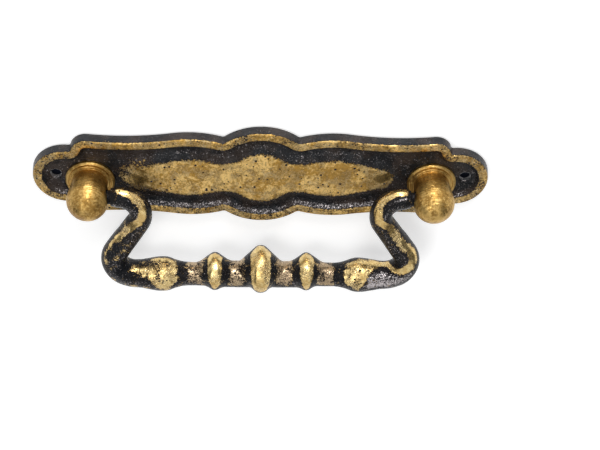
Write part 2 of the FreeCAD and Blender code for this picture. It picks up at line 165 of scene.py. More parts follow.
def clouds(tree, place, scale, detail=3.0, roughness=0.55, distortion=0.0):
    """Soft grey noise around one half."""
    node = tree.nodes.new("ShaderNodeTexNoise")
    for label, source in (("Vector", place), ("Scale", scale), ("Detail", detail),
                          ("Roughness", roughness), ("Distortion", distortion)):
        join(tree, source, node.inputs[label])
    return node.outputs[0]


def cells(tree, place, scale):
    """Distance to the nearest of many scattered points, and a grey that differs from point to point."""
    node = tree.nodes.new("ShaderNodeTexVoronoi")
    join(tree, place, node.inputs["Vector"])
    join(tree, scale, node.inputs["Scale"])
    return node.outputs["Distance"], node.outputs["Color"]


def blend(tree, amount, first, second):
    """A colour between two colours."""
    node = tree.nodes.new("ShaderNodeMix")
    node.data_type = "RGBA"
    join(tree, amount, node.inputs[0])
    join(tree, first, node.inputs[6])
    join(tree, second, node.inputs[7])
    return node.outputs[2]


def between(tree, amount, first, second):
    """A number between two numbers."""
    node = tree.nodes.new("ShaderNodeMix")
    join(tree, amount, node.inputs[0])
    join(tree, first, node.inputs[2])
    join(tree, second, node.inputs[3])
    return node.outputs[0]


def new_group(name, inputs, outputs):
    """A shader node group with named sockets, and its two end nodes."""
    group = bpy.data.node_groups.new(name, "ShaderNodeTree")
    for label, kind in inputs:
        group.interface.new_socket(label, in_out="INPUT", socket_type=f"NodeSocket{kind}")
    for label, kind in outputs:
        group.interface.new_socket(label, in_out="OUTPUT", socket_type=f"NodeSocket{kind}")
    return group, group.nodes.new("NodeGroupInput").outputs, group.nodes.new("NodeGroupOutput").inputs


def use_group(tree, group, **values):
    """Places a group in a tree; underscores in the names stand for spaces."""
    node = tree.nodes.new("ShaderNodeGroup")
    node.node_tree = group
    for label, source in values.items():
        join(tree, source, node.inputs[label.replace("_", " ")])
    return node.outputs


print("node helpers ready")

# %% [markdown]
# ## Stage
# The pull lies on its back on a white sheet. In the imported frame it hangs as on a drawer, so the
# sheet stands upright just behind it. A bright world makes a white background for the camera and
# for the reflections in the brass, while the light that falls on the pull stays at a plain level.
# The sheet lets the camera look through from behind, so the back of the plate can be seen too.
# Under the two fixing holes the sheet carries painted shade, dark as the screw holes in a drawer front.

# %% Stage
SHEET_GAP = 0.6 * MM
SHEET_HALF = 400.0 * MM
SHEET_GLOW = 0.42
FILL_STRENGTH = 0.75
HOLE_X = 57.5 * MM
HOLE_SHADE = (4.0 * MM, 5.0 * MM)
PAPER = (0.85, 0.85, 0.85, 1.0)
# painted shade: the dark colour of the sheet round the fixing holes
HOLE_PAINTED_SHADE = (0.01, 0.012, 0.02, 1.0)


def flat_sheet(name, corners, material):
    mesh = bpy.data.meshes.new(name)
    mesh.from_pydata(corners, [], [(0, 1, 2, 3)])
    mesh.materials.append(material)
    sheet = bpy.data.objects.new(name, mesh)
    bpy.context.scene.collection.objects.link(sheet)
    sheet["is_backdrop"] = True
    return sheet


def bare_material(name):
    material = bpy.data.materials.new(name)
    material.use_nodes = True
    material.node_tree.nodes.clear()
    return material, material.node_tree


def paper_white():
    material, tree = bare_material("paper_white")
    spot = tree.nodes.new("ShaderNodeSeparateXYZ")
    tree.links.new(tree.nodes.new("ShaderNodeTexCoord").outputs["Object"], spot.inputs[0])
    beside = minus(tree, maths(tree, "ABSOLUTE", spot.outputs["X"]), HOLE_X)
    up = spot.outputs["Z"]
    far = maths(tree, "SQRT", plus(tree, times(tree, beside, beside), times(tree, up, up)))
    # painted shade: near the fixing holes the sheet turns dark and its glow fades
    clear_of_painted_shade = ease(tree, far, *HOLE_SHADE)
    paper = tree.nodes.new("ShaderNodeBsdfDiffuse")
    join(tree, blend(tree, clear_of_painted_shade, HOLE_PAINTED_SHADE, PAPER), paper.inputs["Color"])
    glow = tree.nodes.new("ShaderNodeEmission")
    join(tree, times(tree, clear_of_painted_shade, SHEET_GLOW), glow.inputs["Strength"])
    both = tree.nodes.new("ShaderNodeAddShader")
    clear = tree.nodes.new("ShaderNodeBsdfTransparent")
    side = tree.nodes.new("ShaderNodeNewGeometry")
    choice = tree.nodes.new("ShaderNodeMixShader")
    output = tree.nodes.new("ShaderNodeOutputMaterial")
    tree.links.new(paper.outputs[0], both.inputs[0])
    tree.links.new(glow.outputs[0], both.inputs[1])
    tree.links.new(side.outputs["Backfacing"], choice.inputs[0])
    tree.links.new(both.outputs[0], choice.inputs[1])
    tree.links.new(clear.outputs[0], choice.inputs[2])
    tree.links.new(choice.outputs[0], output.inputs[0])
    return material


backing = flat_sheet("white_sheet", [
    (-SHEET_HALF, SHEET_GAP, -SHEET_HALF), (SHEET_HALF, SHEET_GAP, -SHEET_HALF),
    (SHEET_HALF, SHEET_GAP, SHEET_HALF), (-SHEET_HALF, SHEET_GAP, SHEET_HALF),
], paper_white())
backing.visible_diffuse = False
backing.visible_glossy = False
backing.visible_shadow = False

world = bpy.data.worlds.new("white_room")
world.use_nodes = True
bpy.context.scene.world = world
room = world.node_tree
room.nodes.clear()
ray = room.nodes.new("ShaderNodeLightPath")
seen = maths(room, "MAXIMUM", ray.outputs["Is Camera Ray"], ray.outputs["Is Glossy Ray"])
seen = maths(room, "MAXIMUM", seen, ray.outputs["Is Transmission Ray"])
fill = room.nodes.new("ShaderNodeBackground")
fill.inputs["Strength"].default_value = FILL_STRENGTH
white = room.nodes.new("ShaderNodeBackground")
white.inputs["Color"].default_value = (1.0, 1.0, 1.0, 1.0)
surround = room.nodes.new("ShaderNodeMixShader")
room.links.new(seen, surround.inputs[0])
room.links.new(fill.outputs[0], surround.inputs[1])
room.links.new(white.outputs[0], surround.inputs[2])
room.links.new(surround.outputs[0], room.nodes.new("ShaderNodeOutputWorld").inputs[0])
bpy.context.scene.view_settings.view_transform = "Standard"
print("stage:", backing.name, world.name)

# %% [markdown]
# ## Lamps and cards
# Bare metal shows what stands round it, so the light is arranged for its reflections. A small lamp
# above draws the bright edges, a wide one in front fills the shapes, and one behind lights the upper
# sides. Cards are seen only in reflections: two dark ones at the sides give the round shapes dark
# borders, and a grey one in front and below is what the field of the plate mirrors. Without them
# brass looks flat; an image of a room would do the same, but could not be tuned one face at a time.

# %% Lamps and cards
LAMPS = (
    # name, direction from the pull, distance, side and power
    ("top_lamp", (0.10, -0.40, 0.90), 0.55, 0.16, 1.3),
    ("front_lamp", (-0.35, -0.90, 0.25), 0.70, 0.30, 0.9),
    ("back_lamp", (0.05, 0.40, 0.92), 0.55, 0.26, 1.2),
)
CARDS = (
    # name, middle, half its width, half its height, grey
    ("left_card", (-0.30, -0.25, 0.0), (0.0, 0.16, 0.0), (0.0, 0.0, 0.30), 0.12),
    ("right_card", (0.30, -0.25, 0.0), (0.0, 0.16, 0.0), (0.0, 0.0, 0.30), 0.12),
    ("low_card", (0.0, -0.30, -0.30), (0.45, 0.0, 0.0), (0.0, -0.10, 0.10), 0.78),
)


def grey_card(name, grey):
    material, tree = bare_material(name)
    felt = tree.nodes.new("ShaderNodeBsdfDiffuse")
    felt.inputs["Color"].default_value = (grey, grey, grey, 1.0)
    tree.links.new(felt.outputs[0], tree.nodes.new("ShaderNodeOutputMaterial").inputs[0])
    return material


for name, direction, distance, side, power in LAMPS:
    lamp = bpy.data.lights.new(name, "AREA")
    lamp.size = side
    lamp.energy = power
    stand = bpy.data.objects.new(name, lamp)
    stand.location = Vector(direction).normalized() * distance
    stand.rotation_euler = Vector(direction).to_track_quat("Z", "Y").to_euler()
    bpy.context.scene.collection.objects.link(stand)

for name, middle, wide, high, grey in CARDS:
    middle, wide, high = Vector(middle), Vector(wide), Vector(high)
    corners = [middle - wide - high, middle + wide - high, middle + wide + high, middle - wide + high]
    card = flat_sheet(name, corners, grey_card(name, grey))
    card.visible_camera = False
    card.visible_diffuse = False
    card.visible_shadow = False
print("lamps:", len(LAMPS), "cards:", len(CARDS))

# %% [markdown]
# ## Mesh helpers
# The pieces are skins over rings of points: rings round the plate, rings along the bail and rings
# round the turned posts. Working in millimetres and scaling once at the end keeps the numbers
# readable. A rounded profile gives every edge the small radius that a casting has, and that
# radius is what catches the light.

# %% Mesh helpers


def soft_step(low, high, value):
    share = np.clip((np.asarray(value, float) - low) / (high - low), 0.0, 1.0)
    return share * share * (3.0 - 2.0 * share)


def plateau(marks, value):
    """One between the second and the third mark, nought beyond the first and the last."""
    return soft_step(marks[0], marks[1], value) * soft_step(marks[3], marks[2], value)


def rounded_profile(corners, steps=6):
    """A line through corners (across, high, cut); each corner is bent round over its cut."""
    points = []
    for i, (across, high, cut) in enumerate(corners):
        here = np.array((across, high))
        if not cut:
            points.append(here)
            continue
        ends = [np.array(corners[i + step][:2]) - here for step in (-1, 1)]
        start, end = [here + way * (cut / np.linalg.norm(way)) for way in ends]
        for t in np.linspace(0.0, 1.0, steps):
            points.append(start * (1 - t) ** 2 + here * 2 * t * (1 - t) + end * t * t)
    return points


def skin(name, rings):
    """A piece from closed rings of points in mm; the first and last ring are filled."""
    rings = np.asarray(rings)
    count, around = rings.shape[:2]
    faces = []
    for i in range(count - 1):
        for j in range(around):
            k = (j + 1) % around
            faces.append((i * around + j, i * around + k, (i + 1) * around + k, (i + 1) * around + j))
    faces.append(tuple(range(around - 1, -1, -1)))
    faces.append(tuple(range((count - 1) * around, count * around)))
    mesh = bpy.data.meshes.new(name)
    mesh.from_pydata((rings.reshape(-1, 3) * MM).tolist(), [], faces)
    piece = bpy.data.objects.new(name, mesh)
    bpy.context.scene.collection.objects.link(piece)
    clean = bmesh.new()
    clean.from_mesh(mesh)
    bmesh.ops.remove_doubles(clean, verts=clean.verts, dist=0.0005 * MM)
    bmesh.ops.recalc_face_normals(clean, faces=clean.faces)
    clean.to_mesh(mesh)
    clean.free()
    return piece


def turned(name, profile, across, up, around):
    """A lathe piece from (radius, height) points, its axis pointing to the front."""
    angles = np.linspace(0.0, 2.0 * math.pi, around, endpoint=False)
    rings = [np.stack([across + radius * np.cos(angles), np.full(around, -height),
                       up + radius * np.sin(angles)], 1) for radius, height in profile]
    return skin(name, rings)


def cut_away(piece, cutters):
    """Takes the cutters out of a piece and removes them."""
    for cutter in cutters:
        modifier = piece.modifiers.new("cut", "BOOLEAN")
        modifier.operation = "DIFFERENCE"
        modifier.solver = "EXACT"
        modifier.object = cutter
    shaped = piece.evaluated_get(bpy.context.evaluated_depsgraph_get())
    mesh = bpy.data.meshes.new_from_object(shaped)
    piece.modifiers.clear()
    piece.data = mesh
    for cutter in cutters:
        bpy.data.objects.remove(cutter)


def shade(piece, angle):
    piece.data.shade_smooth()
    piece.data.set_sharp_from_angle(angle=math.radians(angle))


def coordinates(piece):
    points = np.zeros(len(piece.data.vertices) * 3)
    piece.data.vertices.foreach_get("co", points)
    return points.reshape(-1, 3) / MM


def normals(piece):
    directions = np.zeros(len(piece.data.vertices) * 3)
    piece.data.vertices.foreach_get("normal", directions)
    return directions.reshape(-1, 3)


def move_points(piece, points, node):
    """Puts points back, none of them outside the solid's box."""
    low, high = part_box(node)
    points = np.clip(points * MM, np.array(low), np.array(high))
    piece.data.vertices.foreach_set("co", points.ravel())
    piece.data.update()


def wobble(points, grain, seed):
    """Smooth unevenness between -1 and 1, with bumps of about the size of the grain."""
    shift = Vector((seed, seed, seed))
    return np.array([noise.noise(Vector(point) / grain + shift) for point in points])


def uneven(points, waves):
    """Several sizes of unevenness, each with its height, grain and seed."""
    return sum(height * wobble(points, grain, seed) for height, grain, seed in waves)


def keep_values(piece, name, values):
    """A value per point that a shader can read."""
    attribute = piece.data.attributes.new(name, "FLOAT", "POINT")
    attribute.data.foreach_set("value", np.asarray(values, np.float32))


def stands_for(piece, node, body):
    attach(piece, body)
    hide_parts(node)


print("mesh helpers ready")

# %% [markdown]
# ## Backplate: the outline
# The edge of the plate is a chain of arcs: bold humps joined by hollows. A curve object with
# handles could follow it, but the rim, the moat and the field all run parallel to this edge, and
# arcs are the one curve whose parallel is known exactly: a hump loses the inset from its radius,
# and a hollow gains it. So one quarter is worked out from arcs at any inset and mirrored.

# %% Backplate: the outline
PLATE_WAVES = (
    # centre across, centre up, radius of the hump, radius of the hollow after it
    (0.0, 0.0, 16.5, 1.0),
    (20.0, -15.7, 30.0, 85.0),
    (48.3, 8.9, 4.5, 0.8),
    (54.5, 0.0, 9.5, 0.0),
)
FIELD_WAVES = PLATE_WAVES[:2] + ((33.4, 0.0, 11.3, 0.0),)
LOBE, NOTCH, WING, DIP, SHOULDER, CORNER, END = (24, 12, 34, 26, 18, 16, 26)
PLATE_COUNTS = (LOBE, NOTCH, WING, DIP, SHOULDER, CORNER, END)
FIELD_COUNTS = (LOBE, NOTCH, WING, DIP, SHOULDER + CORNER + END)


def bearing(start, end):
    return math.atan2(end[1] - start[1], end[0] - start[0])


def meeting(first, first_reach, second, second_reach):
    """The upper one of the two points at given distances from two centres."""
    step = second - first
    span = np.linalg.norm(step)
    along = (first_reach ** 2 - second_reach ** 2 + span ** 2) / (2.0 * span)
    rise = math.sqrt(first_reach ** 2 - along ** 2)
    step = step / span
    return first + step * along + np.array((-step[1], step[0])) * rise


def wave_arcs(waves, inset):
    """Arcs (centre, radius, first bearing, last bearing) from the middle line outwards."""
    centres = [np.array(wave[:2]) for wave in waves]
    radii = [wave[2] - inset for wave in waves]
    arcs = []
    start = math.pi / 2
    for i in range(len(waves) - 1):
        hollow = waves[i][3] + inset
        joint = meeting(centres[i], radii[i] + hollow, centres[i + 1], radii[i + 1] + hollow)
        arcs.append((centres[i], radii[i], start, bearing(centres[i], joint)))
        arcs.append((joint, hollow, bearing(joint, centres[i]), bearing(joint, centres[i + 1])))
        start = bearing(centres[i + 1], joint)
    arcs.append((centres[-1], radii[-1], start, 0.0))
    return arcs


def quarter(waves, counts, inset):
    """Points of a quarter of an outline, moved inwards."""
    points = []
    arcs = wave_arcs(waves, inset)
    for (centre, radius, first, last), count in zip(arcs, counts):
        angles = np.linspace(first, last, count, endpoint=False)
        points.append(centre + radius * np.stack([np.cos(angles), np.sin(angles)], 1))
    tip = arcs[-1][0] + np.array((arcs[-1][1], 0.0))
    return np.concatenate(points + [[tip]])


def whole_loop(part, height):
    flat = np.concatenate([part, part[-2::-1] * (1, -1), part[1:] * (-1, -1), part[-2:0:-1] * (-1, 1)])
    return np.stack([flat[:, 0], np.full(len(flat), -height), flat[:, 1]], 1)


print("points round the plate:", 4 * sum(PLATE_COUNTS))

# %% [markdown]
# ## Backplate: the casting
# From its edge inwards the plate rises to a flat rim, drops into a moat and swells again to the
# field. That is one cross-section carried round the outline, so the mesh is a stack of loops, each
# with its inset and its height. The last loops close onto the middle line of the field. The seats
# of the posts and the holes are then cut out, and a slow unevenness takes away the machined look.

# %% Backplate: the casting
EDGE_PROFILE = rounded_profile([
    (0.0, 0.0, 0.0), (0.3, 3.0, 0.6), (2.7, 3.0, 0.55), (3.65, 1.6, 0.5), (4.1, 1.6, 0.0),
])
FIELD_PROFILE = rounded_profile([
    (4.3, 1.6, 0.0), (4.75, 1.6, 0.4), (6.35, 2.45, 0.9), (8.45, 2.82, 0.0),
])
FLOOR_LOOPS = 12
CROWN_LOOPS = 9
CROWN_RISE = 0.06
POST_X, POST_UP = 48.0, -1.7
FIXING_X = 57.5
FLOOR = 1.6
OUTSIDE = 6.0
SEAT = ((0.0, FLOOR), (7.2, FLOOR), (7.2, OUTSIDE), (0.0, OUTSIDE))
FIXING_HOLE = ((0.0, -1.0), (1.6, -1.0), (1.6, 1.25), (2.05, 1.7), (2.05, OUTSIDE), (0.0, OUTSIDE))
SCREW_HOLE = ((0.0, -0.5), (3.3, -0.5), (2.8, 0.0), (1.55, 1.25), (1.55, 1.8), (0.0, 1.8))
CUTTERS = (
    # name, profile as (radius, height), place across and up, points round
    ("seat_cutter", SEAT, POST_X, POST_UP, 96),
    ("fixing_cutter", FIXING_HOLE, FIXING_X, 0.0, 48),
    ("screw_cutter", SCREW_HOLE, POST_X, POST_UP, 64),
)
CAST_UNEVEN = ((0.05, 6.0, 3.0), (0.018, 1.3, 11.0))
UNEVEN_FROM = (1.2, 1.5)
SMOOTH_ANGLE = 42.0


def plate_loops(waves, counts, profile):
    return [whole_loop(quarter(waves, counts, inset), height) for inset, height in profile]


rings = plate_loops(PLATE_WAVES, PLATE_COUNTS, EDGE_PROFILE)
field_rings = plate_loops(FIELD_WAVES, FIELD_COUNTS, FIELD_PROFILE)
for share in np.linspace(0.0, 1.0, FLOOR_LOOPS + 2)[1:-1]:
    rings.append(rings[len(EDGE_PROFILE) - 1] * (1 - share) + field_rings[0] * share)
rings += field_rings
half_widths = np.abs(field_rings[-1][:, 2])
crown = CROWN_RISE * half_widths / half_widths.max()
for share in np.linspace(0.0, 1.0, CROWN_LOOPS + 1)[1:]:
    loop = field_rings[-1].copy()
    loop[:, 2] *= 1.0 - share
    loop[:, 1] -= crown * math.sin(share * math.pi / 2)
    rings.append(loop)
plate = skin("cast_backplate", rings)

cut_away(plate, [turned(name, profile, side * across, up, around)
                 for side in (-1, 1) for name, profile, across, up, around in CUTTERS])

points = coordinates(plate)
points[:, 1] -= uneven(points, CAST_UNEVEN) * soft_step(*UNEVEN_FROM, -points[:, 1])
move_points(plate, points, "backplate")
shade(plate, SMOOTH_ANGLE)
print("backplate faces:", len(plate.data.polygons))

# %% [markdown]
# ## Backplate: where it was rubbed
# The pad slid over the rim and over the field and could not reach the moat between them. Painting
# this by hand in Vertex Paint would work, but the distance from the plate's own edge says it more
# exactly: the rim is everything near the edge, the field everything well inside. The left end of
# the field was rubbed least and fades out over a long way, so its edge is made softer there. A second
# value places painted glints, a painted highlight on the dark skin: in the moat, and most on its lower
# wall, which faces the top lamp.

# %% Backplate: where it was rubbed
FINER = 6
RIM_BAND = (0.10, 0.35, 2.55, 2.95)
FIELD_EDGE = (7.2, 8.3)
FADED_EDGE = (2.6, 10.2)
FADE_X = (-27.0, -38.0)
RIM_HEIGHT = (2.55, 2.8)
FIELD_HEIGHT = (1.3, 1.7)
FIELD_HALF = 44.0
END_WEAR_X = (44.0, 58.0)
RIM_WEAR, RIM_CHANGE, END_LOSS = 0.78, (0.22, 9.0, 5.0), 0.08
MOAT_EDGE = (2.4, 2.9)
# where the painted glints go: grains facing the top lamp, and their amounts in the moat, on its wall and
# outside
LAMP_WAY, LAMP_FACING = (0.0, -0.56, 0.83), (0.80, 0.97)
MOAT_GLINT, WALL_GLINT, NO_GLINT = 0.03, 0.10, -0.06


def distance_inside(points, waves, counts):
    """How far every point lies inside an outline; one quarter serves for all four."""
    outline = quarter(waves, [FINER * count for count in counts], 0.0)
    flat = np.abs(points[:, (0, 2)])
    near = [np.linalg.norm(some[:, None] - outline, axis=2).min(1) for some in np.array_split(flat, 40)]
    return np.concatenate(near)


from_edge = distance_inside(points, PLATE_WAVES, PLATE_COUNTS)
from_field = distance_inside(points, FIELD_WAVES, FIELD_COUNTS)
heights = -points[:, 1]
far_out = np.abs(points[:, 0])
rim = plateau(RIM_BAND, from_edge) * soft_step(*RIM_HEIGHT, heights)
rim *= RIM_WEAR + uneven(points, (RIM_CHANGE,)) - END_LOSS * soft_step(*END_WEAR_X, far_out)
fade = soft_step(FADE_X[0], FADE_X[1], points[:, 0])
field_low = FIELD_EDGE[0] + (FADED_EDGE[0] - FIELD_EDGE[0]) * fade
field_high = FIELD_EDGE[1] + (FADED_EDGE[1] - FIELD_EDGE[1]) * fade
on_field = np.clip((from_field - field_low) / (field_high - field_low), 0.0, 1.0)
on_field *= soft_step(*FIELD_HEIGHT, heights) * (far_out < FIELD_HALF)
rubbed = np.maximum(rim, on_field)
# painted highlight: more painted glints in the moat, most on the lower wall that faces the top lamp
lamp_side = soft_step(*LAMP_FACING, normals(plate) @ np.array(LAMP_WAY))
glint = soft_step(*MOAT_EDGE, from_edge) * (MOAT_GLINT + WALL_GLINT * lamp_side) + NO_GLINT
keep_values(plate, "rubbed", rubbed)
keep_values(plate, "glint", glint)
stands_for(plate, "backplate", "plate")
print("bare share of the plate:", round(float((rubbed > 0.5).mean()), 3))

# %% [markdown]
# ## Bail: the path and the thickness
# The bail is one casting: a straight grip with beads, two bulbs, and two arms that bend up like a
# swan's neck to a pin at each post. A bevelled curve would give the arms but not the beads, which
# sit a little above the middle of the grip. Rings set along a path do both: each ring has its own
# place, its own direction, and a radius that may differ all the way round.

# %% Bail: the path and the thickness
PIVOT_FRONT, PIVOT_UP = 9.2, -1.7
GRIP_UP = PIVOT_UP - 30.1
LOWER_BEND = (np.array((36.0, GRIP_UP + 6.3)), 6.3)
UPPER_BEND = (np.array((39.7, PIVOT_UP - 6.0)), 6.0)
ARM_END_X = 41.7
PIN_RADIUS, PIN_LENGTH = 2.0, 4.4
BULB_X, BULB_RADIUS, BULB_CURVE = 28.4, 5.15, 6.5
COVE_X, COVE_RADIUS = 20.6, 3.55
INNER_COVE_RADIUS = 3.95
SMALL_BEAD_X = 13.3
COVE_CHANGE = (11.5, 15.0)
ARM_RADII = (BULB_RADIUS, 4.3, 3.7, 3.1, 2.7)

climb = UPPER_BEND[0] - LOWER_BEND[0]
turn = math.atan2(climb[1], climb[0]) - math.acos((LOWER_BEND[1] + UPPER_BEND[1]) / np.linalg.norm(climb))
outward = np.array((math.cos(turn), math.sin(turn)))
lower_touch = LOWER_BEND[0] + outward * LOWER_BEND[1]
upper_touch = UPPER_BEND[0] - outward * UPPER_BEND[1]
grip_length = LOWER_BEND[0][0]
lower_length = LOWER_BEND[1] * (turn + math.pi / 2)
arm_length = np.linalg.norm(upper_touch - lower_touch)
upper_length = UPPER_BEND[1] * (turn + math.pi / 2)
lower_end = grip_length + lower_length
upper_start = lower_end + arm_length
upper_end = upper_start + upper_length
arm_end = upper_end + ARM_END_X - UPPER_BEND[0][0]


def spoke(angle):
    return np.array((math.cos(angle), math.sin(angle)))


def path_at(length):
    """The point (across, up) and the heading at a distance from the middle of the grip."""
    if length <= grip_length:
        return np.array((length, GRIP_UP)), 0.0
    if length <= lower_end:
        angle = (length - grip_length) / LOWER_BEND[1] - math.pi / 2
        return LOWER_BEND[0] + LOWER_BEND[1] * spoke(angle), angle + math.pi / 2
    if length <= upper_start:
        way = (upper_touch - lower_touch) / arm_length
        return lower_touch + way * (length - lower_end), turn + math.pi / 2
    if length <= upper_end:
        angle = turn + math.pi - (length - upper_start) / UPPER_BEND[1]
        return UPPER_BEND[0] + UPPER_BEND[1] * spoke(angle), angle - math.pi / 2
    return np.array((UPPER_BEND[0][0] + length - upper_end, PIVOT_UP)), 0.0


def core_radius(length):
    """The bail without its beads."""
    reach, rise = BULB_X - COVE_X, BULB_RADIUS - COVE_RADIUS
    hollow = (reach ** 2 + rise ** 2) / (2.0 * rise) - BULB_CURVE
    change = COVE_X + reach * hollow / (hollow + BULB_CURVE)
    if length < COVE_X:
        return INNER_COVE_RADIUS + (COVE_RADIUS - INNER_COVE_RADIUS) * float(soft_step(*COVE_CHANGE, length))
    if length < change:
        return COVE_RADIUS + hollow - math.sqrt(hollow ** 2 - (length - COVE_X) ** 2)
    if length < BULB_X:
        return BULB_RADIUS - BULB_CURVE + math.sqrt(BULB_CURVE ** 2 - (BULB_X - length) ** 2)
    marks = [BULB_X, grip_length, lower_end, upper_end, arm_end]
    for i in range(len(marks) - 1):
        if length <= marks[i + 1]:
            share = float(soft_step(marks[i], marks[i + 1], length))
            return ARM_RADII[i] + (ARM_RADII[i + 1] - ARM_RADII[i]) * share
    return ARM_RADII[-1]


print("half the bail is", round(arm_end + PIN_LENGTH, 1), "mm long")

# %% [markdown]
# ## Bail: beads, facets and the casting
# A bead is a second round, turned about an axis above the grip's own, so it stands out more at the
# top than at the bottom. The larger of the two distances is taken at every point, with a little
# softness where they cross, as metal fills such a corner. The arms were filed by hand: flat
# facets are made by pulling the ring in wherever it stands beyond a plane. The file also took a
# little off the front of each bead, which makes its crest broader there and leaves its top round.

# %% Bail: beads, facets and the casting
RING_POINTS = 72
BEADS = (
    # place along the grip, lift, radius, crest radius, reach of a flank, foot
    (0.0, 2.1, 7.1, 2.6, 7.2, 1.35),
    (SMALL_BEAD_X, 1.2, 5.65, 2.0, 6.1, 1.85),
)
FACETS = (
    # direction (across, front, up), how far out the plane lies, as a share of the radius
    ((0.0, -0.68, 0.73), 0.93),
    ((0.0, -0.80, -0.60), 0.94),
    ((0.0, 0.75, 0.66), 0.95),
    ((0.0, 0.75, -0.66), 0.95),
)
CORNER_SOFTNESS = 0.9
FACET_SOFTNESS = 0.3
CREST_FILED, CREST_SOFTNESS = 0.10, 0.85
FILED_BEARING, FILED_FACING = math.radians(30.0), (0.35, 0.85)
FACET_FADE = (grip_length - 2.0, grip_length + 6.0)
WIDEST_FACET = 0.2
END_ROUND, END_STRAIGHT = 0.35, 0.7
GRIP_STEP, ARM_STEP = 0.18, 0.32
BAIL_UNEVEN = ((0.10, 5.0, 7.0), (0.035, 1.5, 23.0))
WORN_OFF, PIN_CLEAR = 0.05, 1.5
BAIL_SMOOTH_ANGLE = 50.0
ring_angles = np.linspace(0.0, 2.0 * math.pi, RING_POINTS, endpoint=False)
filed_share = soft_step(*FILED_FACING, np.cos(ring_angles - FILED_BEARING))


def larger(first, second, softness):
    """The larger of two values, filled out where they meet."""
    overlap = np.maximum(softness - np.abs(first - second), 0.0)
    return np.maximum(first, second) + overlap ** 2 / (4.0 * softness)


def bead_radius(distance, radius, crest, reach, foot):
    """The half profile of a bead: a round crest, then a straight slope that touches it."""
    drop = foot - radius + crest
    slope = math.atan2(drop, reach) + math.acos(crest / math.hypot(reach, drop))
    touch = crest * math.cos(slope)
    if distance < touch:
        return radius - crest + math.sqrt(crest ** 2 - distance ** 2)
    if distance < reach:
        shoulder = radius - crest + crest * math.sin(slope)
        return shoulder + (foot - shoulder) * (distance - touch) / (reach - touch)
    return 0.0


def ring_at(length, radius):
    centre, heading = path_at(length)
    side = np.array((-math.sin(heading), 0.0, math.cos(heading)))
    front = np.array((0.0, -1.0, 0.0))
    sizes = np.full(RING_POINTS, radius)
    for place, lift, top, crest, reach, foot in BEADS:
        bead = bead_radius(abs(length - place), top, crest, reach, foot)
        if bead:
            filed = -larger(-bead, CREST_FILED - top, CREST_SOFTNESS)
            bead = bead + (filed - bead) * filed_share
            inside = np.maximum(bead ** 2 - (lift * np.cos(ring_angles)) ** 2, 0.0)
            sizes = larger(sizes, lift * np.sin(ring_angles) + np.sqrt(inside), CORNER_SOFTNESS)
    if FACET_FADE[0] < length < arm_end:
        strength = float(soft_step(*FACET_FADE, length))
        for direction, share in FACETS:
            flat = np.array(direction)
            aim = math.atan2(flat @ side, flat @ front)
            plane = radius * (1.0 - (1.0 - share) * strength)
            nearness = np.maximum(np.cos(ring_angles - aim), WIDEST_FACET)
            sizes = -larger(-sizes, -plane / nearness, FACET_SOFTNESS)
    around = np.outer(np.cos(ring_angles), front) + np.outer(np.sin(ring_angles), side)
    return np.array((centre[0], -PIVOT_FRONT, centre[1])) + around * sizes[:, None]


lengths = np.concatenate([np.arange(0.0, BULB_X, GRIP_STEP), np.arange(BULB_X, arm_end - 1.0, ARM_STEP)])
stations = [(length, core_radius(length)) for length in lengths]
end_radius = core_radius(arm_end)
stations += rounded_profile([
    (arm_end - END_STRAIGHT, end_radius, 0.0), (arm_end, end_radius, END_ROUND), (arm_end, PIN_RADIUS, 0.0),
    (arm_end + PIN_LENGTH, PIN_RADIUS, END_ROUND), (arm_end + PIN_LENGTH, 0.0, 0.0),
])
right_rings = [ring_at(length, radius) for length, radius in stations]
left_rings = [ring * (-1, 1, 1) for ring in right_rings[:0:-1]]
bail = skin("cast_bail", left_rings + right_rings)

points = coordinates(bail)
clear_of_pin = soft_step(ARM_END_X, ARM_END_X - PIN_CLEAR, np.abs(points[:, 0]))
lift = (uneven(points, BAIL_UNEVEN) - WORN_OFF) * clear_of_pin
move_points(bail, points + normals(bail) * lift[:, None], "bail")
shade(bail, BAIL_SMOOTH_ANGLE)
print("bail faces:", len(bail.data.polygons))
